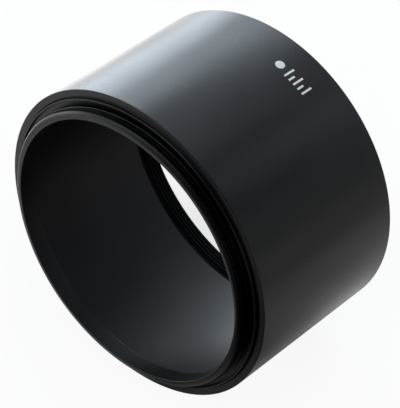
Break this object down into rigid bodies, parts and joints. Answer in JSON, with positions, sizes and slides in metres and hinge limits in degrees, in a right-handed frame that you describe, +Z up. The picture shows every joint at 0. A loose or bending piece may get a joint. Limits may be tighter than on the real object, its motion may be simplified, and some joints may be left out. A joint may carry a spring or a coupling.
{
  "type": "lens hood",
  "caption": "Cylindrical screw-in telephoto lens hood in black anodised aluminium, threaded at both ends, with a raised rim round the lens-end thread.",
  "frame": {"origin": "on the optical axis, in the plane of the barrel's lens-end face, which is also the floor that the lens's filter rim closes on", "axes": "+Y along the optical axis from the lens end to the front; the hood lies on its side, and +Z is up"},
  "size_m": [0.064, 0.0388, 0.064],
  "materials": {
    "anodised_barrel": "fine-blasted, satin black anodised aluminium; matt black inside",
    "anodised_ring": "turned, satin black anodised aluminium with fine circular tool marks",
    "white_ink": "pad-printed white ink, matt"
  },
  "bodies": {
    "root": {"barrel": "anodised_barrel", "mount_ring": "anodised_ring", "index_marking": "white_ink"}
  },
  "joints": []
}
